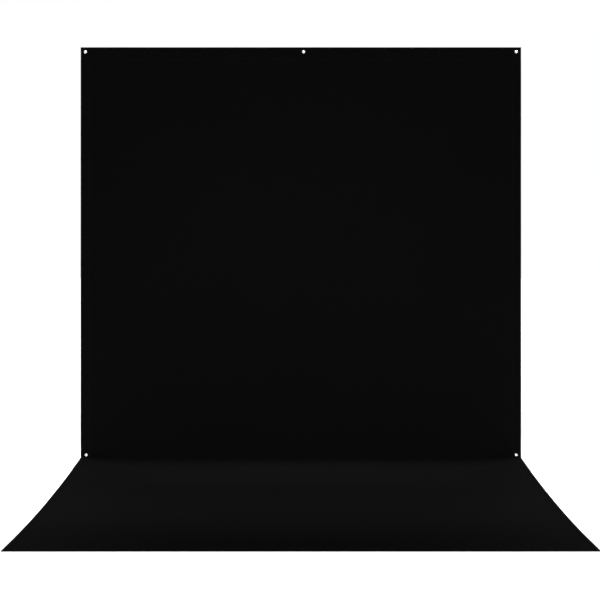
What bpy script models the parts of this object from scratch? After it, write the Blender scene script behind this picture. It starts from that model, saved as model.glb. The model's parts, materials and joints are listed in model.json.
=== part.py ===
"""Black cloth sweep backdrop, hung by grommets and turned forward onto the floor.

Metres, +Z up, X across the width, -Y towards the viewer. The origin is the middle of the line
that the top grommets hang on, at the front face of the cloth. Left and right are the viewer's.
The cloth is one length in use; it is split at the fold, where the sweep lifts off the floor.
"""
import math

import bmesh
import bpy
import numpy as np
from mathutils import Matrix

FOOT = 0.3048

# Cloth: 8 ft by 13 ft, with its edges turned to the back and sewn down
WIDTH = 8 * FOOT
LENGTH = 13 * FOOT
CLOTH = 0.0005
GAP = 0.0003
LAYER = CLOTH + GAP
WALL_HEIGHT = 2.272

# Hems: depth of each turned edge, and how far its row of stitches stands from the edge
TOP_HEM = 0.070
TOP_STITCH = 0.067
SIDE_HEM = 0.050
SIDE_STITCH = 0.048
FRONT_HEM = 0.050
FRONT_STITCH = 0.047
THREAD_WIDTH = 0.0008
THREAD = 0.0003
THREAD_CLEAR_OF_FOLD = 0.008

# Sweep: it leaves the fold above the floor, runs down to it and lies flat from LIFTED_RUN on
FOLD_RISE = 0.0845
LIFTED_RUN = 1.5
SAG_POWER = 1.8
SWEEP_ARC = LENGTH - WALL_HEIGHT
SWEEP_FACETS = 32

# Grommets: a turned eyelet set from the front over a washer at the back, through a patch
HANG_DROP = 0.0244
FOLD_GROMMET_RISE = 0.0148
BORE_R = 0.0045
BARREL_R = 0.0049
FLANGE_R = 0.0085
FLANGE_DOME = 0.001
LIP_R = 0.0063
LIP = 0.0007
CLOTH_HOLE_R = 0.0053
WASHER_HOLE_R = 0.0052
WASHER_R = 0.008
WASHER = 0.0008
WASHER_CHAMFER = 0.0002
PATCH_WIDTH = 0.044
PATCH_HEIGHT = 0.036
PATCH_CLEAR = 0.002
TURNED_STEPS = 24
DOME_STEPS = 6
CUTTER_LENGTH = 0.02

TOP_Z = HANG_DROP
FOLD_Z = TOP_Z - WALL_HEIGHT
GROMMETS = {
    "top_left": (-1.1925, 0.0),
    "top_centre": (0.015, 0.0),
    "top_right": (1.1925, 0.0),
    "fold_left": (-1.1885, FOLD_Z + FOLD_GROMMET_RISE),
    "fold_right": (1.1925, FOLD_Z + FOLD_GROMMET_RISE),
}

BLACK_CLOTH = (0.004, 0.004, 0.004)
BLACK_THREAD = (0.006, 0.006, 0.006)
BLACK_WEBBING = (0.008, 0.008, 0.008)
NICKEL = (0.80, 0.79, 0.76)


def clear_scene():
    for old in list(bpy.data.objects):
        bpy.data.objects.remove(old, do_unlink=True)


def new_collection(name):
    made = bpy.data.collections.new(name)
    bpy.context.scene.collection.children.link(made)
    return made


def make_material(name, colour, roughness, metallic):
    material = bpy.data.materials.new(name)
    material.use_nodes = True
    shader = material.node_tree.nodes["Principled BSDF"]
    shader.inputs["Base Color"].default_value = (*colour, 1)
    shader.inputs["Roughness"].default_value = roughness
    shader.inputs["Metallic"].default_value = metallic
    return material


def add_object(name, shape, colour, roughness, metallic=0.0):
    """Link an object with its own material to the backdrop's collection."""
    mesh = bpy.data.meshes.new(name)
    shape.to_mesh(mesh)
    shape.free()
    mesh.materials.append(make_material(name, colour, roughness, metallic))
    made = bpy.data.objects.new(name, mesh)
    backdrop.objects.link(made)
    return made


def add_slab(name, x_range, y_range, z_range, colour=BLACK_CLOTH, roughness=0.9):
    """A flat layer that fills a box, with its origin at the box's centre."""
    ranges = (x_range, y_range, z_range)
    size = [high - low for low, high in ranges]
    shape = bmesh.new()
    bmesh.ops.create_cube(shape, size=1, matrix=Matrix.Diagonal((*size, 1)))
    made = add_object(name, shape, colour, roughness)
    made.location = [(low + high) / 2 for low, high in ranges]
    return made


def behind(layer):
    """Depths at which a layer behind the wall panel starts and ends; the panel is layer 0."""
    start = layer * LAYER
    return start, start + CLOTH


def sweep_height(run):
    """Height of the sweep's top face over the fold line, at a distance in front of it."""
    left = np.clip(1 - run / LIFTED_RUN, 0, 1)
    return FOLD_RISE * (left ** SAG_POWER - 1)


def sweep_section(start, end, depth):
    """Points across the sweep, from one arc length to another, a depth under its top face."""
    runs = np.linspace(0, SWEEP_ARC * 1.01, 2000)
    heights = sweep_height(runs)
    steps = np.hypot(np.diff(runs), np.diff(heights))
    arcs = np.concatenate(([0.0], np.cumsum(steps)))
    flat_from = float(np.interp(LIFTED_RUN, runs, arcs))
    stations = [start, end]
    if start < flat_from:
        curved_end = min(end, flat_from)
        count = max(2, round(SWEEP_FACETS * (curved_end - start) / SWEEP_ARC))
        stations[:1] = np.linspace(start, curved_end, count + 1)
    points = []
    for arc in stations:
        run = float(np.interp(arc, arcs, runs))
        left = max(0.0, 1 - run / LIFTED_RUN)
        slope = -FOLD_RISE * SAG_POWER / LIFTED_RUN * left ** (SAG_POWER - 1)
        scale = math.hypot(1, slope)
        forward = run + depth * slope / scale
        height = float(sweep_height(run)) - depth / scale
        points.append((-forward, height))
    return points


def add_sweep_layer(name, x_range, start, end, depth, thickness, colour, roughness=0.9):
    """A layer of the sweep, hung on the fold axis: a bent strip thickened downwards."""
    shape = bmesh.new()
    x_low, x_high = x_range
    corners = [shape.verts.new((x_low, y, z)) for y, z in sweep_section(start, end, depth)]
    edges = [shape.edges.new(pair) for pair in zip(corners, corners[1:])]
    grown = bmesh.ops.extrude_edge_only(shape, edges=edges)["geom"]
    moved = [item for item in grown if isinstance(item, bmesh.types.BMVert)]
    bmesh.ops.translate(shape, verts=moved, vec=(x_high - x_low, 0, 0))
    for face in shape.faces:
        face.normal_update()
        if face.normal.z < 0:
            face.normal_flip()
    made = add_object(name, shape, colour, roughness)
    made.parent = fold_axis
    solid = made.modifiers.new("thickness", "SOLIDIFY")
    solid.thickness = thickness
    solid.offset = -1
    solid.use_even_offset = True
    return made


def add_turned(name, outline, place):
    """Turn a closed outline of (radius, height) about its axis, which points to the front."""
    shape = bmesh.new()
    corners = [shape.verts.new((radius, 0, height)) for radius, height in outline]
    for pair in zip(corners, corners[1:] + corners[:1]):
        shape.edges.new(pair)
    made = add_object(name, shape, NICKEL, roughness=0.25, metallic=1.0)
    made.location = (place[0], 0, place[1])
    made.rotation_euler = (math.pi / 2, 0, 0)
    turn = made.modifiers.new("turn", "SCREW")
    turn.steps = TURNED_STEPS
    turn.render_steps = TURNED_STEPS
    turn.use_merge_vertices = True
    turn.merge_threshold = 0.00001
    made.data.shade_smooth()
    return made


def washer_back():
    """Depth of the washer's back face: it sits behind the panel, the hem and the patch."""
    return 3 * LAYER + WASHER


def eyelet_outline():
    """Domed flange in front, a barrel through the cloth and a lip rolled over the washer."""
    dome = []
    middle = (BORE_R + FLANGE_R) / 2
    half = (FLANGE_R - BORE_R) / 2
    for step in range(DOME_STEPS + 1):
        angle = math.pi * step / DOME_STEPS
        dome.append((middle - half * math.cos(angle), GAP + FLANGE_DOME * math.sin(angle)))
    lip_front = -(washer_back() + GAP)
    lip_back = lip_front - LIP
    return dome + [
        (BARREL_R, GAP),
        (BARREL_R, lip_front),
        (LIP_R, lip_front),
        (LIP_R, lip_front - LIP / 2),
        (LIP_R - LIP / 2, lip_back),
        (BARREL_R, lip_back),
        (BORE_R, lip_back + LIP / 2),
    ]


def washer_outline():
    front = -3 * LAYER
    back = -washer_back()
    return [
        (WASHER_HOLE_R, front),
        (WASHER_R, front),
        (WASHER_R, back + WASHER_CHAMFER),
        (WASHER_R - WASHER_CHAMFER, back),
        (WASHER_HOLE_R, back),
    ]


def make_cutters():
    """One cylinder along each grommet's axis, to punch its hole in every layer of cloth."""
    made = {}
    for place, (x, z) in GROMMETS.items():
        shape = bmesh.new()
        bmesh.ops.create_cone(
            shape, cap_ends=True, segments=TURNED_STEPS, radius1=CLOTH_HOLE_R,
            radius2=CLOTH_HOLE_R, depth=CUTTER_LENGTH,
        )
        mesh = bpy.data.meshes.new("punch_" + place)
        shape.to_mesh(mesh)
        shape.free()
        punch = bpy.data.objects.new("punch_" + place, mesh)
        punch.location = (x, 0, z)
        punch.rotation_euler = (math.pi / 2, 0, 0)
        punch.hide_render = True
        punch.display_type = "WIRE"
        cutters.objects.link(punch)
        made[place] = punch
    return made


def punch_holes(piece, places):
    for place in places:
        cut = piece.modifiers.new("hole_" + place, "BOOLEAN")
        cut.operation = "DIFFERENCE"
        cut.solver = "EXACT"
        cut.object = punches[place]


def make_wall():
    """The hung panel, with its top and side hems turned to the back."""
    panel = add_slab("wall_panel", (-WIDTH / 2, WIDTH / 2), behind(0), (FOLD_Z + GAP, TOP_Z))
    punch_holes(panel, GROMMETS)
    hem = add_slab("top_hem", (-WIDTH / 2, WIDTH / 2), behind(1), (TOP_Z - TOP_HEM, TOP_Z))
    punch_holes(hem, ["top_left", "top_centre", "top_right"])
    heights = (FOLD_Z + GAP, TOP_Z - TOP_HEM - GAP)
    left = (-WIDTH / 2, -WIDTH / 2 + SIDE_HEM)
    right = (WIDTH / 2 - SIDE_HEM, WIDTH / 2)
    punch_holes(add_slab("wall_hem_left", left, behind(1), heights), ["fold_left"])
    punch_holes(add_slab("wall_hem_right", right, behind(1), heights), ["fold_right"])


def make_grommets():
    """An eyelet, a washer and a webbing patch at each place."""
    for place, (x, z) in GROMMETS.items():
        low = max(z - PATCH_HEIGHT / 2, FOLD_Z + PATCH_CLEAR)
        across = (x - PATCH_WIDTH / 2, x + PATCH_WIDTH / 2)
        up = (low, low + PATCH_HEIGHT)
        patch = add_slab("patch_" + place, across, behind(2), up, BLACK_WEBBING, 0.8)
        punch_holes(patch, [place])
        add_turned("eyelet_" + place, eyelet_outline(), (x, z))
        add_turned("washer_" + place, washer_outline(), (x, z))


def make_sweep():
    """The floor part of the cloth, with its side and front hems turned under."""
    edge = WIDTH / 2
    hem_end = SWEEP_ARC - FRONT_HEM
    across = (-edge, edge)
    add_sweep_layer("sweep_panel", across, 0, SWEEP_ARC, 0, CLOTH, BLACK_CLOTH)
    left = (-edge, -edge + SIDE_HEM)
    right = (edge - SIDE_HEM, edge)
    add_sweep_layer("sweep_hem_left", left, 0, hem_end - GAP, LAYER, CLOTH, BLACK_CLOTH)
    add_sweep_layer("sweep_hem_right", right, 0, hem_end - GAP, LAYER, CLOTH, BLACK_CLOTH)
    add_sweep_layer("front_hem", across, hem_end, SWEEP_ARC, LAYER, CLOTH, BLACK_CLOTH)


def make_stitching():
    """A row of thread along each hem, standing on the front face of the cloth."""
    front = (-GAP - THREAD, -GAP)
    side = WIDTH / 2 - SIDE_STITCH
    half = THREAD_WIDTH / 2
    top_row = TOP_Z - TOP_STITCH
    across = (-WIDTH / 2 + GAP, WIDTH / 2 - GAP)
    add_slab("thread_top", across, front, (top_row - half, top_row + half), BLACK_THREAD, 0.7)
    down = (FOLD_Z + THREAD_CLEAR_OF_FOLD, top_row - half - GAP)
    front_row = SWEEP_ARC - FRONT_STITCH
    depth = -GAP - THREAD
    for place, x in (("left", -side), ("right", side)):
        row = (x - half, x + half)
        add_slab("thread_wall_" + place, row, front, down, BLACK_THREAD, 0.7)
        add_sweep_layer("thread_sweep_" + place, row, THREAD_CLEAR_OF_FOLD,
                        front_row - half - GAP, depth, THREAD, BLACK_THREAD, 0.7)
    add_sweep_layer("thread_front", across, front_row - half, front_row + half, depth, THREAD,
                    BLACK_THREAD, 0.7)


clear_scene()
backdrop = new_collection("sweep_backdrop")
cutters = new_collection("cutters")
fold_axis = bpy.data.objects.new("fold_axis", None)
fold_axis.location = (0, 0, FOLD_Z)
backdrop.objects.link(fold_axis)
punches = make_cutters()
make_wall()
make_grommets()
make_sweep()
make_stitching()
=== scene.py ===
"""Looks of the black cloth sweep backdrop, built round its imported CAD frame.

Metres, in the frame's own axes: X across, Z up, -Y towards the viewer. A point of the cloth is
named by its place on the flat cut: x across it, and v along it from the top edge.
"""
import json
import math

import bmesh
import bpy
import numpy as np
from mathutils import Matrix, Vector


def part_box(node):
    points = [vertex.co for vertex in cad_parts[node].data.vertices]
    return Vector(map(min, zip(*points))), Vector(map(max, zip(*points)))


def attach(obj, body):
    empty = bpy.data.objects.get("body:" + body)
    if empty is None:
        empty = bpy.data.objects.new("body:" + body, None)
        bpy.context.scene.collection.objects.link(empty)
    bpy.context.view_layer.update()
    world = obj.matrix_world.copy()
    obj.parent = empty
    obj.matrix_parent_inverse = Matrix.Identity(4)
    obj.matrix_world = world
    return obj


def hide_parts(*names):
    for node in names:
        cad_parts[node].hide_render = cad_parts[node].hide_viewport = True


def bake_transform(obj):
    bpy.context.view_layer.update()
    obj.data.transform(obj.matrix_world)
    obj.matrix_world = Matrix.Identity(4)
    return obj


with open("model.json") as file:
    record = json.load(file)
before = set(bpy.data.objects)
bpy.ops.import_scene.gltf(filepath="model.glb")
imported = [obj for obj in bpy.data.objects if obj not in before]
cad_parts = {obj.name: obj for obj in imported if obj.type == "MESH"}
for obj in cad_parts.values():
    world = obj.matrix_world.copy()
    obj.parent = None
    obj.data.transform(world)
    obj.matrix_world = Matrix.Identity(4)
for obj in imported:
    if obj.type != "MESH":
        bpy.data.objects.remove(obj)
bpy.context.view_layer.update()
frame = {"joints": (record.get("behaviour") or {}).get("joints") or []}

# ---- Sizes that the frame states ----
wall_low, wall_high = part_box("wall_panel")
sweep_low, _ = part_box("sweep_panel")
EDGE = wall_high.x
TOP_Z = wall_high.z
FOLD_Z = frame["joints"][0]["pos_m"][2]
FLOOR_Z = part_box("front_hem")[0].z
REACH = -sweep_low.y
FLAT_TOP_Z = sweep_low.z + (wall_high.y - wall_low.y)
TOP_HEM = TOP_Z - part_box("top_hem")[0].z
SIDE_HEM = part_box("wall_hem_left")[1].x + EDGE
FRONT_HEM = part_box("front_hem")[1].y + REACH
TOP_ROW = TOP_Z - sum(corner.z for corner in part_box("thread_top")) / 2
SIDE_ROW = EDGE - sum(corner.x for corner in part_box("thread_wall_right")) / 2
FRONT_ROW = REACH + sum(corner.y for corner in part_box("thread_front")) / 2
PLACES = ("top_left", "top_centre", "top_right", "fold_left", "fold_right")


def middle_of(node):
    low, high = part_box(node)
    return (low + high) / 2


# Grommet centres on the flat cut
GROMMETS = {}
for place in PLACES:
    centre = middle_of("washer_" + place)
    GROMMETS[place] = (centre.x, TOP_Z - centre.z)

# ---- Cloth ----
FOOT = 0.3048
CLOTH_CUT = (8 * FOOT, 13 * FOOT)
LENGTH = CLOTH_CUT[1]
CLOTH = 0.0005
HEM_DEPTH = 0.0006
ROLL_R = HEM_DEPTH / 2
HEM_GAP = 0.0003
BEND_FROM = 2.17
TABLE_COLUMNS = 161
TABLE_ROWS = 1800
TABLE_EXTRA = 0.004

# The sweep's own curve at the sides, as in the CAD, and how its middle hangs lower and softer
FOLD_RISE = FOLD_Z - FLAT_TOP_Z
LIFTED_RUN = 1.5
SAG_POWER = 1.8
MIDDLE_DROP = 0.074
MIDDLE_RUN_SHARE = 0.85
SIDE_BEND_R = 0.009
MIDDLE_BEND_R = 0.070
BOW_POWER = 8


def smooth(value, low, high):
    """0 below low, 1 above high, and an even S between them."""
    share = np.clip((value - low) / (high - low), 0, 1)
    return share * share * (3 - 2 * share)


def sweep_line(x):
    """Rise and run of the sweep's curve at a distance across the cloth, with its bend radius."""
    bow = 1 - min(1.0, abs(x) / EDGE) ** BOW_POWER
    rise = FOLD_RISE - MIDDLE_DROP * bow
    run = LIFTED_RUN * (1 - (1 - MIDDLE_RUN_SHARE) * bow)
    return rise, run, SIDE_BEND_R + (MIDDLE_BEND_R - SIDE_BEND_R) * bow


def column_path(x):
    """Points (forward, up) down one column of the cloth's front face, from BEND_FROM on."""
    rise, run, radius = sweep_line(x)

    def height(f):
        return rise * np.clip(1 - f / run, 0, 1) ** SAG_POWER

    def slope(f):
        return -rise * SAG_POWER / run * np.clip(1 - f / run, 0, 1) ** (SAG_POWER - 1)

    tangent = radius
    for _ in range(8):
        grade = float(slope(tangent))
        scale = math.hypot(1, grade)
        tangent = radius * (1 + grade / scale)
    corner = float(height(tangent)) - grade * tangent
    centre_up = corner + grade * radius + radius * scale
    turned = math.pi / 2 + math.atan(grade)
    angles = np.linspace(0, turned, 60)
    wall_up = np.linspace(TOP_Z - BEND_FROM - FLAT_TOP_Z, centre_up, 60)[:-1]
    floor_f = np.linspace(tangent, REACH + TABLE_EXTRA, 400)[1:]
    forward = np.concatenate(
        [np.zeros(len(wall_up)), radius * (1 - np.cos(angles)), floor_f])
    up = np.concatenate([wall_up, centre_up - radius * np.sin(angles), height(floor_f)])
    return forward, up + FLAT_TOP_Z


def make_table():
    """The front face of the cloth past BEND_FROM, as forward and up by column and row."""
    columns = np.linspace(-EDGE, EDGE, TABLE_COLUMNS)
    rows = np.linspace(BEND_FROM, LENGTH + TABLE_EXTRA, TABLE_ROWS)
    forward = np.zeros((TABLE_COLUMNS, TABLE_ROWS))
    up = np.zeros_like(forward)
    share = (rows - rows[0]) / (rows[-1] - rows[0])
    for index, x in enumerate(columns):
        f, z = column_path(x)
        arcs = np.concatenate(([0.0], np.cumsum(np.hypot(np.diff(f), np.diff(z)))))
        forward[index] = np.interp(share * arcs[-1], arcs, f)
        up[index] = np.interp(share * arcs[-1], arcs, z)
    return forward, up


TABLE_FORWARD, TABLE_UP = make_table()


def look_up(table, x, v):
    """Bilinear value of a table at points of the cloth."""
    across = np.clip((x + EDGE) / (2 * EDGE), 0, 1) * (TABLE_COLUMNS - 1)
    along = (v - BEND_FROM) / (LENGTH + TABLE_EXTRA - BEND_FROM)
    along = np.clip(along, 0, 1) * (TABLE_ROWS - 1)
    i = np.minimum(across.astype(int), TABLE_COLUMNS - 2)
    j = np.minimum(along.astype(int), TABLE_ROWS - 2)
    a, b = across - i, along - j
    near = table[i, j] * (1 - b) + table[i, j + 1] * b
    far = table[i + 1, j] * (1 - b) + table[i + 1, j + 1] * b
    return near * (1 - a) + far * a


def front_face(x, v):
    """Points of the cloth's front face before its ripples."""
    hung = v < BEND_FROM
    forward = np.where(hung, 0.0, look_up(TABLE_FORWARD, x, v))
    up = np.where(hung, TOP_Z - v, look_up(TABLE_UP, x, v))
    return np.stack([x, -forward, up], axis=-1)


# ---- Ripples of the cloth, in metres along its front normal ----
rng = np.random.default_rng(8)
SLACK_WAVES = [
    (rng.uniform(0.35, 1.1), rng.uniform(0, math.pi), rng.uniform(0, 2 * math.pi))
    for _ in range(7)
]
SLACK = 0.00028
FAN_FOLDS = 8
FAN_HEIGHT = 0.0005
FAN_REACH = 0.10
PUCKER = 0.00012
PUCKER_PITCH = 0.034
PUCKER_REACH = 0.016
GROMMET_FLAT = 0.0125
FOLD_V = TOP_Z - FOLD_Z


def fan(x, v, place):
    """Small folds that spread from a corner grommet into the cloth."""
    gx, gv = GROMMETS[place]
    inward = -np.sign(gx) * (x - gx)
    down = (v - gv) if place.startswith("top") else (gv - v)
    distance = np.hypot(inward, down)
    angle = np.arctan2(down, inward)
    within = smooth(angle, -0.25, 0.25) * (1 - smooth(angle, 1.32, 1.82))
    size = (distance / FAN_REACH) * np.exp(1 - distance / FAN_REACH)
    wobble = 0.5 * np.sin(distance / 0.045 + gx)
    return FAN_HEIGHT * size * within * np.sin(FAN_FOLDS * angle + wobble)


def ripple(x, v):
    slack = np.zeros_like(x)
    for length, heading, phase in SLACK_WAVES:
        along = x * math.cos(heading) + v * math.sin(heading)
        slack += SLACK * np.sin(2 * math.pi * along / length + phase)
    fans = np.zeros_like(x)
    for place in PLACES:
        if place != "top_centre":
            fans += fan(x, v, place)
    rows = [
        (v, TOP_ROW, x), (x + EDGE, SIDE_ROW, v), (EDGE - x, SIDE_ROW, v),
        (LENGTH - v, FRONT_ROW, x),
    ]
    puckers = np.zeros_like(x)
    for across, row, along in rows:
        near = np.exp(-((across - row) / PUCKER_REACH) ** 2)
        wave = np.sin(2 * math.pi * along / PUCKER_PITCH + 1.7 * np.sin(along / 0.11))
        puckers += PUCKER * near * wave
    lying = smooth(v, FOLD_V - 0.02, FOLD_V + 0.25)
    hung = slack + fans * (1 - lying)
    settled = 0.5 * (slack + len(SLACK_WAVES) * SLACK) + 0.5 * PUCKER
    total = hung * (1 - lying) + settled * lying + puckers * (1 - 0.5 * lying)
    for gx, gv in GROMMETS.values():
        total = total * smooth(np.hypot(x - gx, v - gv), GROMMET_FLAT, 2.2 * GROMMET_FLAT)
    return total


def cloth_points(x, v, depth=0.0):
    """Points and front normals of the cloth, a depth behind its front face."""
    x, v = np.asarray(x, float), np.asarray(v, float)
    step = 0.0005
    across = front_face(x + step, v) - front_face(x - step, v)
    along = front_face(x, v + step) - front_face(x, v - step)
    normal = np.cross(along, across)
    normal /= np.linalg.norm(normal, axis=-1, keepdims=True)
    lift = ripple(x, v) - depth
    return front_face(x, v) + normal * lift[..., None], normal


def add_piece(name, mesh):
    mesh.shade_smooth()
    piece = bpy.data.objects.new(name, mesh)
    bpy.context.scene.collection.objects.link(piece)
    return piece


# ---- Flat grids, with round holes where the grommets go ----
HOLE_HALF = 0.0075
HOLE_R = 0.0052
HOLE_STEPS = 32
CREASE = 0.003
FINE = 0.0065
COARSE = 0.016
HEM_STEP = 0.008
PATCH_STEP = 0.002
# Columns are coarse inside MIDDLE_HALF; rows are fine in the bands, and finest at the bend
MIDDLE_HALF = 0.98
FINE_BAND = 0.2
FRONT_BAND = 0.08
ABOVE_BEND = 0.008
BELOW_BEND = 0.14
SAME = 1e-6


def spaced(stops, step_at):
    """Grid lines through the stops, no further apart than step_at says; a hole's cell is whole."""
    lines = [stops[0]]
    for low, high in zip(stops, stops[1:]):
        count = max(1, math.ceil((high - low) / step_at((low + high) / 2)))
        if abs(high - low - 2 * HOLE_HALF) < SAME:
            count = 1
        lines += [low + (high - low) * step / count for step in range(1, count + 1)]
    return np.array(lines)


def punch(shape, face, hx, hv):
    """Replace a square face by faces that leave a round hole at its middle."""
    def heading(vert):
        return math.atan2(vert.co.y - hv, vert.co.x - hx) % (2 * math.pi)

    corners = sorted(face.verts, key=heading)
    depth = corners[0].co.z
    bmesh.ops.delete(shape, geom=[face], context="FACES_ONLY")
    ring = []
    for step in range(HOLE_STEPS):
        angle = 2 * math.pi * step / HOLE_STEPS
        spot = (hx + HOLE_R * math.cos(angle), hv + HOLE_R * math.sin(angle), depth)
        ring.append(shape.verts.new(spot))
    quarter = HOLE_STEPS // 4
    for step in range(HOLE_STEPS):
        shape.faces.new((corners[step // quarter], ring[step], ring[(step + 1) % HOLE_STEPS]))
    for k in range(4):
        shape.faces.new((corners[k - 1], corners[k], ring[k * quarter]))


def grid_shape(x_grid, v_grid, depth_grid, holes=()):
    """A bmesh of the flat cut, holes punched; vertex z holds the depth behind the front face."""
    shape = bmesh.new()
    rows, columns = x_grid.shape
    points = np.stack([x_grid, v_grid, depth_grid], axis=-1).reshape(-1, 3)
    verts = [shape.verts.new(point) for point in points]
    faces = {}
    for i in range(rows - 1):
        for j in range(columns - 1):
            at = i * columns + j
            corners = (at, at + 1, at + columns + 1, at + columns)
            faces[i, j] = shape.faces.new([verts[k] for k in corners])
    for hx, hv in holes:
        i = int(np.searchsorted(v_grid[:, 0], hv)) - 1
        j = int(np.searchsorted(x_grid[i], hx)) - 1
        punch(shape, faces[i, j], hx, hv)
    bmesh.ops.recalc_face_normals(shape, faces=shape.faces)
    return shape


def hang(name, shape, thickness):
    """Turn a flat shape into a piece of hung cloth, with the flat cut kept as an attribute."""
    flat = np.array([vert.co for vert in shape.verts], float)
    points, normals = cloth_points(flat[:, 0], flat[:, 1], flat[:, 2])
    for vert, point in zip(shape.verts, points):
        vert.co = point
    shape.normal_update()
    facing = Vector(normals[0])
    shape.faces.ensure_lookup_table()
    if shape.faces[0].normal.dot(facing) < 0:
        bmesh.ops.reverse_faces(shape, faces=shape.faces)
    mesh = bpy.data.meshes.new(name)
    shape.to_mesh(mesh)
    shape.free()
    mark = mesh.attributes.new("flat", "FLOAT_VECTOR", "POINT")
    mark.data.foreach_set("vector", flat.astype(np.float32).ravel())
    piece = add_piece(name, mesh)
    solid = piece.modifiers.new("thickness", "SOLIDIFY")
    solid.thickness = thickness
    solid.offset = 0
    return piece


def column_step(x):
    return FINE if abs(x) > MIDDLE_HALF else COARSE


def row_step(v):
    if FOLD_V - ABOVE_BEND < v < FOLD_V + BELOW_BEND:
        return CREASE
    fine = v < FINE_BAND or FOLD_V - FINE_BAND < v < FOLD_V or v > LENGTH - FRONT_BAND
    return FINE if fine else COARSE


def hole_lines(places, axis):
    lines = []
    for place in places:
        at = GROMMETS[place][axis]
        lines += [at - HOLE_HALF, at + HOLE_HALF]
    return lines


def make_cloth():
    top = hole_lines(PLACES[:3], 0)
    low = hole_lines(["fold_left"], 0) + top[2:4] + hole_lines(["fold_right"], 0)
    side = MIDDLE_HALF
    edge = EDGE - ROLL_R
    top_stops = [-edge, *top[:2], -side, *top[2:4], side, *top[4:], edge]
    low_stops = [-edge, *low[:2], -side, *low[2:4], side, *low[4:], edge]
    columns = spaced(top_stops, column_step)
    low_columns = np.interp(columns, top_stops, low_stops)
    rows = spaced([ROLL_R, *hole_lines(PLACES[:1], 1), FINE_BAND, FOLD_V - FINE_BAND,
                   *hole_lines(PLACES[3:4], 1), FOLD_V, FOLD_V + BELOW_BEND,
                   LENGTH - FRONT_BAND, LENGTH - ROLL_R], row_step)
    top_v = GROMMETS["top_left"][1]
    low_v = GROMMETS["fold_left"][1]
    share = np.clip((rows - top_v - HOLE_HALF) / (low_v - top_v - 2 * HOLE_HALF), 0, 1)
    x_grid = columns[None, :] * (1 - share[:, None]) + low_columns[None, :] * share[:, None]
    v_grid = np.repeat(rows[:, None], len(columns), axis=1)
    depth = np.full_like(x_grid, CLOTH / 2)
    return hang("cloth", grid_shape(x_grid, v_grid, depth, list(GROMMETS.values())), CLOTH)


def rolled_edge(width, inner_stops, step):
    """Distances from the hemmed edge and depths of a hem: a tight roll, then flat."""
    turns = np.linspace(0, math.pi, 7)
    distance = list(ROLL_R * (1 - np.sin(turns)))
    depth = list(CLOTH / 2 + ROLL_R * (1 - np.cos(turns)))
    flat = spaced([ROLL_R, *inner_stops, width], lambda _: step)[1:]
    return np.array(distance + list(flat)), np.array(depth + [depth[-1]] * len(flat))


def make_side_hem(name, side, place):
    gx, gv = GROMMETS[place]
    stops = sorted(EDGE - side * (gx + shift) for shift in (-HOLE_HALF, HOLE_HALF))
    distance, depth = rolled_edge(SIDE_HEM, stops, FINE)
    rows = spaced([TOP_HEM + HEM_GAP, FINE_BAND, FOLD_V - FINE_BAND, gv - HOLE_HALF,
                   gv + HOLE_HALF, FOLD_V, FOLD_V + BELOW_BEND,
                   LENGTH - FRONT_HEM - HEM_GAP], row_step)
    x = side * (EDGE - distance)
    if side > 0:
        x, depth = x[::-1], depth[::-1]
    x_grid = np.repeat(x[None, :], len(rows), axis=0)
    depth_grid = np.repeat(depth[None, :], len(rows), axis=0)
    v_grid = np.repeat(rows[:, None], len(x), axis=1)
    return hang(name, grid_shape(x_grid, v_grid, depth_grid, [(gx, gv)]), CLOTH)


def make_end_hem(name, width, at_top):
    """The hem along the top edge, with its three holes, or along the front edge."""
    places = PLACES[:3] if at_top else ()
    stops = hole_lines(PLACES[:1], 1) if at_top else []
    distance, depth = rolled_edge(width, stops, FINE)
    columns = spaced([-EDGE, *hole_lines(places, 0), EDGE], lambda _: HEM_STEP)
    v = distance
    if not at_top:
        v, depth = (LENGTH - distance)[::-1], depth[::-1]
    v_grid = np.repeat(v[:, None], len(columns), axis=1)
    depth_grid = np.repeat(depth[:, None], len(columns), axis=1)
    x_grid = np.repeat(columns[None, :], len(v), axis=0)
    holes = [GROMMETS[place] for place in places]
    return hang(name, grid_shape(x_grid, v_grid, depth_grid, holes), CLOTH)


# ---- Rows of lockstitches, on both faces ----
STITCH_PITCH = 0.0042
STITCH = 0.0034
THREAD_R = 0.0002
THREAD_SINK = 0.00004


# A stitch's rings: where along it, as a share of its length, and how thick, as a share of THREAD_R
STITCH_AT = (-0.5, -0.34, -0.12, 0.12, 0.34, 0.5)
STITCH_R = (0.15, 0.75, 1.0, 1.0, 0.75, 0.15)
STITCH_SIDES = 6
LOOK_AHEAD = 0.001


def stitch_points(middles, heading, depth, out):
    """Points of every stitch of a run, by stitch, on one face of the cloth."""
    here, normal = cloth_points(middles[:, 0], middles[:, 1], depth)
    ahead = middles + heading * LOOK_AHEAD
    there, _ = cloth_points(ahead[:, 0], ahead[:, 1], depth)
    along = there - here
    along /= np.linalg.norm(along, axis=1, keepdims=True)
    across = np.cross(normal, along)
    centre = here + normal * out * (THREAD_R - THREAD_SINK)
    block = []
    for place, size in zip(STITCH_AT, STITCH_R):
        r = THREAD_R * size
        for k in range(STITCH_SIDES):
            turn = 2 * math.pi * k / STITCH_SIDES
            block.append(centre + along * (STITCH * place)
                         + across * (r * math.cos(turn)) + normal * (r * math.sin(turn)))
    return np.stack(block, axis=1)


def stitch_faces(first):
    """Faces of one stitch whose points start at first: its sides and both ends."""
    faces = []
    for ring in range(len(STITCH_AT) - 1):
        for k in range(STITCH_SIDES):
            a = first + ring * STITCH_SIDES + k
            b = first + ring * STITCH_SIDES + (k + 1) % STITCH_SIDES
            faces.append((a, b, b + STITCH_SIDES, a + STITCH_SIDES))
    last = first + (len(STITCH_AT) - 1) * STITCH_SIDES
    faces.append([first + k for k in reversed(range(STITCH_SIDES))])
    faces.append([last + k for k in range(STITCH_SIDES)])
    return faces


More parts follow.
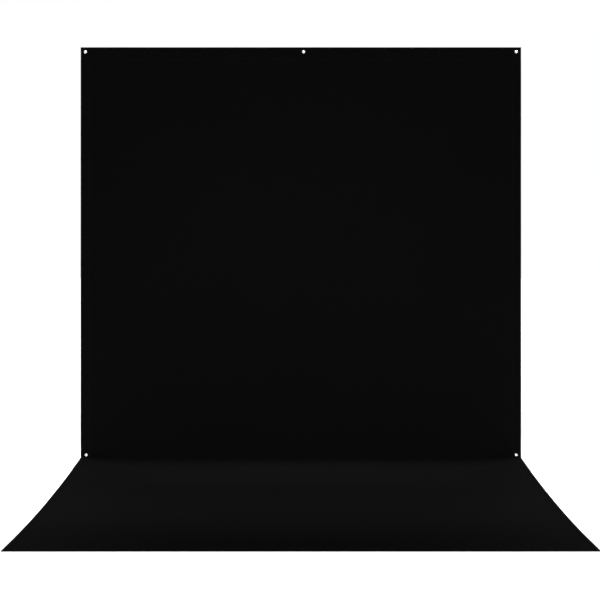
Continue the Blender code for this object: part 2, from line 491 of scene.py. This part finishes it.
def stitch_rows(name, runs):
    """Stitches along straight runs on the flat cut: (start, end, depth of the back face)."""
    points, faces = [], []
    per = len(STITCH_AT) * STITCH_SIDES
    for start, end, back in runs:
        start, end = np.array(start, float), np.array(end, float)
        length = np.linalg.norm(end - start)
        count = int(length / STITCH_PITCH)
        heading = (end - start) / length
        middles = start + heading * ((np.arange(count) + 0.5) * STITCH_PITCH)[:, None]
        for depth, out in ((0.0, 1.0), (back, -1.0)):
            base = sum(len(done) for done in points)
            for stitch in range(count):
                faces += stitch_faces(base + stitch * per)
            points.append(stitch_points(middles, heading, depth, out).reshape(-1, 3))
    mesh = bpy.data.meshes.new(name)
    mesh.from_pydata(np.concatenate(points).tolist(), [], faces)
    mesh.update()
    return add_piece(name, mesh)


# ---- Grommets: eyelet, washer and the webbing patch behind each ----
HEM_BACK = CLOTH / 2 + HEM_DEPTH + CLOTH / 2
PATCH = 0.0006
PATCH_SKIN = 0.00005
PATCH_BACK = HEM_BACK + PATCH + 2 * PATCH_SKIN
WASHER = 0.0007
TURNED_STEPS = 72
BORE_R = 0.0045
FLANGE_R = 0.0085
CREST_R = 0.0065
BARREL_R = 0.0049
WASHER_R = 0.008
LIP_R = 0.0062
LIP = 0.00062
LIP_TURN = 0.0007
FLANGE_DOME = 0.00115
FLANGE_RIM = 0.00025
FLANGE_SOLE = 0.00005
FLANGE_EDGE = 0.0001
SOLE_INSET = 0.0004
WASHER_CLEAR = 0.0002
WASHER_EASE = 0.0003
WASHER_FRONT_EASE = 0.0002
WASHER_BACK_EASE = 0.0001
WASHER_SLOPE = 0.0008
WASHER_DISH = 0.00005
LIP_CLEAR = 0.0004


def arc(centre, radii, start, end, count):
    """Points of an elliptic arc in (radius, forward), angles in degrees."""
    angles = np.radians(np.linspace(start, end, count))
    return [(centre[0] + radii[0] * math.cos(a), centre[1] + radii[1] * math.sin(a))
            for a in angles]


def turned(name, outline, place):
    """A closed outline of (radius, forward of the front face) turned about a grommet's axis."""
    gx, gv = GROMMETS[place]
    count = len(outline)
    points, faces = [], []
    for step in range(TURNED_STEPS):
        angle = 2 * math.pi * step / TURNED_STEPS
        for radius, forward in outline:
            points.append((gx + radius * math.cos(angle), -forward,
                           TOP_Z - gv + radius * math.sin(angle)))
    for step in range(TURNED_STEPS):
        here, there = step * count, (step + 1) % TURNED_STEPS * count
        for k in range(count):
            after = (k + 1) % count
            faces.append((here + k, there + k, there + after, here + after))
    mesh = bpy.data.meshes.new(name)
    mesh.from_pydata(points, [], faces)
    mesh.update()
    shape = bmesh.new()
    shape.from_mesh(mesh)
    bmesh.ops.recalc_face_normals(shape, faces=shape.faces)
    shape.to_mesh(mesh)
    shape.free()
    return add_piece(name, mesh)


def eyelet_outline():
    """Rolled flange in front, barrel through the layers and a lip curled over the washer."""
    back = PATCH_BACK + WASHER
    flange = arc((CREST_R, 0.0), (CREST_R - BORE_R, FLANGE_DOME), 180, 90, 9)
    outer = (FLANGE_R - CREST_R, FLANGE_DOME - FLANGE_RIM)
    flange += arc((CREST_R, FLANGE_RIM), outer, 90, 0, 10)[1:]
    flange += [(FLANGE_R - FLANGE_EDGE, 0.0), (FLANGE_R - SOLE_INSET, -FLANGE_SOLE),
               (BARREL_R, -FLANGE_SOLE)]
    curl = [(BARREL_R, -back)]
    curl += arc((LIP_R - LIP / 2, -back - LIP / 2), (LIP / 2, LIP / 2), 90, -90, 8)
    curl += arc((BORE_R + LIP_TURN, -back), (LIP_TURN, LIP), 270, 180, 6)
    return flange + curl


def washer_outline():
    """Flat ring behind the patch, its outer edge eased and its back sloping off to the rim."""
    front, back = -PATCH_BACK, -(PATCH_BACK + WASHER)
    inner = BARREL_R + WASHER_CLEAR
    return [
        (inner, front), (WASHER_R - WASHER_EASE, front),
        (WASHER_R, front - WASHER_FRONT_EASE), (WASHER_R, back + WASHER_EASE),
        (WASHER_R - WASHER_EASE, back + WASHER_BACK_EASE), (WASHER_R - WASHER_SLOPE, back),
        (LIP_R + LIP_CLEAR, back), (inner, back + WASHER_DISH),
    ]


def make_patch(name, place):
    """A square of ribbed webbing, sewn on behind the hem."""
    low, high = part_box("patch_" + place)
    gx, gv = GROMMETS[place]
    columns = spaced([low.x, gx - HOLE_HALF, gx + HOLE_HALF, high.x], lambda _: PATCH_STEP)
    rows = spaced([TOP_Z - high.z, gv - HOLE_HALF, gv + HOLE_HALF, TOP_Z - low.z],
                  lambda _: PATCH_STEP)
    x_grid, v_grid = np.meshgrid(columns, rows)
    depth = np.full_like(x_grid, HEM_BACK + PATCH / 2 + PATCH_SKIN)
    return hang(name, grid_shape(x_grid, v_grid, depth, [(gx, gv)]), PATCH)


# ---- Materials ----
def new_material(name, colour, roughness, metallic=0.0, specular=0.5):
    material = bpy.data.materials.new(name)
    material.use_nodes = True
    tree = material.node_tree
    shader = tree.nodes["Principled BSDF"]
    shader.inputs["Base Color"].default_value = (*colour, 1)
    shader.inputs["Roughness"].default_value = roughness
    shader.inputs["Metallic"].default_value = metallic
    shader.inputs["Specular IOR Level"].default_value = specular
    return material, tree, shader


def math_node(tree, operation, first, second=None):
    node = tree.nodes.new("ShaderNodeMath")
    node.operation = operation
    for index, value in enumerate((first, second)):
        if value is None:
            continue
        if isinstance(value, (int, float)):
            node.inputs[index].default_value = value
        else:
            tree.links.new(value, node.inputs[index])
    return node.outputs[0]


def noise_node(tree, vector, scale, detail=3.0):
    node = tree.nodes.new("ShaderNodeTexNoise")
    node.inputs["Scale"].default_value = scale
    node.inputs["Detail"].default_value = detail
    tree.links.new(vector, node.inputs["Vector"])
    return node.outputs["Fac"]


def ramp_node(tree, value, dark, light, low=0.3, high=0.7):
    node = tree.nodes.new("ShaderNodeValToRGB")
    node.color_ramp.elements[0].position = low
    node.color_ramp.elements[0].color = (*dark, 1)
    node.color_ramp.elements[1].position = high
    node.color_ramp.elements[1].color = (*light, 1)
    tree.links.new(value, node.inputs[0])
    return node.outputs[0]


def bump_node(tree, shader, height, distance, strength=1.0):
    node = tree.nodes.new("ShaderNodeBump")
    node.inputs["Distance"].default_value = distance
    node.inputs["Strength"].default_value = strength
    tree.links.new(height, node.inputs["Height"])
    tree.links.new(node.outputs[0], shader.inputs["Normal"])


def flat_places(tree):
    """The place on the flat cut, as a vector and as its x and v."""
    flat = tree.nodes.new("ShaderNodeAttribute")
    flat.attribute_name = "flat"
    parts = tree.nodes.new("ShaderNodeSeparateXYZ")
    tree.links.new(flat.outputs["Vector"], parts.inputs[0])
    return flat.outputs["Vector"], parts.outputs["X"], parts.outputs["Y"]


def weave_height(tree, x, v, pitch):
    """Plain weave: rounded threads across and along, one over the other in turn; the height also
    sets painted shade in the cloth's colour.
    """
    crossing_x = math_node(tree, "MULTIPLY", x, math.pi / pitch)
    crossing_v = math_node(tree, "MULTIPLY", v, math.pi / pitch)
    sine_x = math_node(tree, "SINE", crossing_x)
    sine_v = math_node(tree, "SINE", crossing_v)
    over = math_node(tree, "MULTIPLY", sine_x, sine_v)
    over = math_node(tree, "GREATER_THAN", over, 0.0)
    under = math_node(tree, "SUBTRACT", 1.0, over)
    warp = math_node(tree, "MULTIPLY", math_node(tree, "ABSOLUTE", sine_x), over)
    weft = math_node(tree, "MULTIPLY", math_node(tree, "ABSOLUTE", sine_v), under)
    return math_node(tree, "ADD", warp, weft)


CLOTH_DARK = (0.0003, 0.0003, 0.0003)
CLOTH_LIGHT = (0.0022, 0.0022, 0.0022)
THREAD_PITCH = 0.00045
# Shares of the cloth's colour tone: cloud and slub are random tone, the weave share is painted
# shade, darker between threads and lighter on their crowns.
CLOUD_SHARE = 0.06
SLUB_SHARE = 0.30
WEAVE_PAINTED_SHADE_SHARE = 0.64
RIB_PITCH = 0.0016
TRIM_BLACK = (0.004, 0.004, 0.004)
NICKEL_DULL = (0.58, 0.57, 0.55)
NICKEL = (0.65, 0.64, 0.62)
NICKEL_BRIGHT = (0.72, 0.71, 0.69)


def cloth_material():
    material, tree, shader = new_material("black_cloth", CLOTH_LIGHT, 0.88, specular=0.008)
    flat, x, v = flat_places(tree)
    weave = weave_height(tree, x, v, THREAD_PITCH)
    cloud = noise_node(tree, flat, 3.0, 4.0)
    slub = noise_node(tree, flat, 900.0, 2.0)
    # Tone: random cloud and slub, plus painted shade from the weave's height, dark where threads
    # dip and light on their crowns.
    tone = math_node(tree, "ADD", math_node(tree, "MULTIPLY", cloud, CLOUD_SHARE),
                     math_node(tree, "MULTIPLY", slub, SLUB_SHARE))
    tone = math_node(tree, "ADD", tone, math_node(tree, "MULTIPLY", weave, WEAVE_PAINTED_SHADE_SHARE))
    colour = ramp_node(tree, tone, CLOTH_DARK, CLOTH_LIGHT, 0.2, 0.95)
    tree.links.new(colour, shader.inputs["Base Color"])
    rough = math_node(tree, "ADD", math_node(tree, "MULTIPLY", slub, 0.12), 0.82)
    tree.links.new(rough, shader.inputs["Roughness"])
    bump_node(tree, shader, weave, 0.00015, 0.7)
    return material


def thread_material():
    material, tree, shader = new_material("black_thread", TRIM_BLACK, 0.6, specular=0.15)
    place = tree.nodes.new("ShaderNodeTexCoord").outputs["Object"]
    twist = noise_node(tree, place, 2500.0, 2.0)
    tree.links.new(ramp_node(tree, twist, (0.003, 0.003, 0.003), (0.006, 0.006, 0.006)),
                   shader.inputs["Base Color"])
    bump_node(tree, shader, twist, 0.0001, 0.4)
    return material


def webbing_material():
    material, tree, shader = new_material("black_webbing", TRIM_BLACK, 0.7, specular=0.06)
    flat, x, _ = flat_places(tree)
    crossing = math_node(tree, "MULTIPLY", x, math.pi / RIB_PITCH)
    ribs = math_node(tree, "ABSOLUTE", math_node(tree, "SINE", crossing))
    slub = noise_node(tree, flat, 1500.0, 2.0)
    height = math_node(tree, "ADD", ribs, math_node(tree, "MULTIPLY", slub, 0.5))
    tree.links.new(ramp_node(tree, slub, (0.0025, 0.0025, 0.0025), (0.006, 0.006, 0.006)),
                   shader.inputs["Base Color"])
    bump_node(tree, shader, height, 0.0003, 0.7)
    return material


def nickel_material():
    material, tree, shader = new_material("nickel", NICKEL, 0.2, metallic=1.0)
    place = tree.nodes.new("ShaderNodeTexCoord").outputs["Object"]
    rub = noise_node(tree, place, 350.0, 4.0)
    tree.links.new(ramp_node(tree, rub, NICKEL_DULL, NICKEL_BRIGHT), shader.inputs["Base Color"])
    rough = math_node(tree, "ADD", math_node(tree, "MULTIPLY", rub, 0.18), 0.12)
    tree.links.new(rough, shader.inputs["Roughness"])
    bump_node(tree, shader, noise_node(tree, place, 1800.0, 2.0), 0.00003, 0.3)
    return material


def dress(piece, material):
    piece.data.materials.append(material)


# ---- Build every piece, and attach those that stay on one side of the fold to its body ----
CLOTH_FINISH = cloth_material()
THREAD_FINISH = thread_material()
WEBBING_FINISH = webbing_material()
NICKEL_FINISH = nickel_material()


def across_fold(piece, *nodes):
    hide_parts(*nodes)
    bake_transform(piece)


def on_body(piece, body, *nodes):
    if nodes:
        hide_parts(*nodes)
    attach(piece, body)


cloth = make_cloth()
dress(cloth, CLOTH_FINISH)
across_fold(cloth, "wall_panel", "sweep_panel")
on_cloth = []
for side, label in ((-1, "left"), (1, "right")):
    hem = make_side_hem("hem_" + label, side, "fold_" + label)
    dress(hem, CLOTH_FINISH)
    across_fold(hem, "wall_hem_" + label, "sweep_hem_" + label)
    x = side * (EDGE - SIDE_ROW)
    row = stitch_rows("stitching_" + label,
                      [((x, TOP_ROW + 0.004), (x, LENGTH - FRONT_ROW - 0.003), HEM_BACK)])
    dress(row, THREAD_FINISH)
    across_fold(row, "thread_wall_" + label, "thread_sweep_" + label)
    on_cloth += [hem, row]
for name, width, at_top, body, node in (("hem_top", TOP_HEM, True, "wall", "top_hem"),
                                        ("hem_front", FRONT_HEM, False, "sweep", "front_hem")):
    hem = make_end_hem(name, width, at_top)
    dress(hem, CLOTH_FINISH)
    on_body(hem, body, node)
    on_cloth.append(hem)
for name, v, body, node in (("stitching_top", TOP_ROW, "wall", "thread_top"),
                            ("stitching_front", LENGTH - FRONT_ROW, "sweep", "thread_front")):
    row = stitch_rows(name, [((-EDGE + 0.001, v), (EDGE - 0.001, v), HEM_BACK)])
    dress(row, THREAD_FINISH)
    on_body(row, body, node)
    on_cloth.append(row)

PATCH_STITCH_INSET = 0.003
for place in PLACES:
    patch = make_patch("webbing_" + place, place)
    dress(patch, WEBBING_FINISH)
    on_body(patch, "wall", "patch_" + place)
    low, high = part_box("patch_" + place)
    left, right = low.x + PATCH_STITCH_INSET, high.x - PATCH_STITCH_INSET
    upper = TOP_Z - high.z + PATCH_STITCH_INSET
    lower = TOP_Z - low.z - PATCH_STITCH_INSET
    corners = [(left, upper), (right, upper), (right, lower), (left, lower)]
    runs = [(a, b, PATCH_BACK) for a, b in zip(corners, corners[1:] + corners[:1])]
    box_row = stitch_rows("stitching_patch_" + place, runs)
    dress(box_row, THREAD_FINISH)
    on_body(box_row, "wall")
    ring = turned("grommet_front_" + place, eyelet_outline(), place)
    dress(ring, NICKEL_FINISH)
    on_body(ring, "wall", "eyelet_" + place)
    back = turned("grommet_back_" + place, washer_outline(), place)
    dress(back, NICKEL_FINISH)
    on_body(back, "wall", "washer_" + place)
    on_cloth += [patch, box_row, ring, back]

# ---- Floor, light and camera ----
PALE = 0.86
CAMERA_BACK = 6.325
CAMERA_HEIGHT = 1.195
LENS_MM = 68.54
SHIFT = (-0.00145, -0.0711)
WORLD_STRENGTH = 1.0
KEY_STRENGTH = 3.0
KEY_FROM = (-0.12, -0.75, 0.62)
KEY_ANGLE = math.radians(25)
BACK_PLACE = (0.9, 3.6, -0.5)
BACK_AIM = (0, 0, -1.1)
BACK_ANGLE = math.radians(75)
BACK_WATTS = 650
BEAM_HEIGHT = 9.0
BEAM_TILT = math.radians(9)
# Beams: middle in front of the fold, reach each way along the sweep, reach across, watts
BEAMS = {"beam_long": (0.5, 1.15, 2.8, 5600), "beam_fold": (0.0, 0.5, 2.8, 2600)}


def make_floor():
    mesh = bpy.data.meshes.new("floor")
    shape = bmesh.new()
    bmesh.ops.create_grid(shape, x_segments=1, y_segments=1, size=60)
    shape.to_mesh(mesh)
    shape.free()
    floor = bpy.data.objects.new("floor", mesh)
    floor.location = (0, 0, FLOOR_Z - 0.0004)
    bpy.context.scene.collection.objects.link(floor)
    material, _, _ = new_material("pale_floor", (PALE, PALE, PALE), 1.0, specular=0.0)
    mesh.materials.append(material)


def aim(thing, target):
    direction = Vector(target) - thing.location
    thing.rotation_euler = direction.to_track_quat("-Z", "Y").to_euler()


def add_light(name, kind, place, target):
    data = bpy.data.lights.new(name, kind)
    lamp = bpy.data.objects.new(name, data)
    lamp.location = place
    bpy.context.scene.collection.objects.link(lamp)
    aim(lamp, target)
    return lamp, data


def make_light():
    """White surroundings, a soft sun in front, two beams down on the sweep, one lamp behind.

    The lamp behind stands inside the wall's own shadow, so it lights only the back of the cloth.
    """
    world = bpy.data.worlds.new("studio")
    bpy.context.scene.world = world
    world.use_nodes = True
    background = world.node_tree.nodes["Background"]
    background.inputs["Color"].default_value = (1, 1, 1, 1)
    background.inputs["Strength"].default_value = WORLD_STRENGTH

    _, key = add_light("key", "SUN", KEY_FROM, (0, 0, 0))
    key.energy = KEY_STRENGTH
    key.angle = KEY_ANGLE

    _, back = add_light("back", "SPOT", BACK_PLACE, BACK_AIM)
    back.energy = BACK_WATTS
    back.spot_size = BACK_ANGLE
    back.spot_blend = 0.6
    back.shadow_soft_size = 0.25

    for name, (middle, reach, across, watts) in BEAMS.items():
        target = Vector((0, -middle, FLOOR_Z))
        away = Vector((0, -math.sin(BEAM_TILT), math.cos(BEAM_TILT)))
        lamp, beam = add_light(name, "SPOT", target + away * BEAM_HEIGHT, target)
        beam.energy = watts
        beam.spot_size = 2 * math.atan(reach / BEAM_HEIGHT)
        beam.spot_blend = 1.0
        beam.shadow_soft_size = 0.1
        lamp.scale = (across / reach, 1, 1)


def make_camera():
    data = bpy.data.cameras.new("camera")
    data.lens = LENS_MM
    data.sensor_width = 36
    data.shift_x, data.shift_y = SHIFT
    data.clip_end = 200
    camera = bpy.data.objects.new("camera", data)
    camera.location = (0, -CAMERA_BACK, FLOOR_Z + CAMERA_HEIGHT)
    camera.rotation_euler = (math.pi / 2, 0, 0)
    bpy.context.scene.collection.objects.link(camera)
    bpy.context.scene.camera = camera


make_floor()
make_light()
make_camera()
bpy.context.scene.view_settings.view_transform = "Standard"
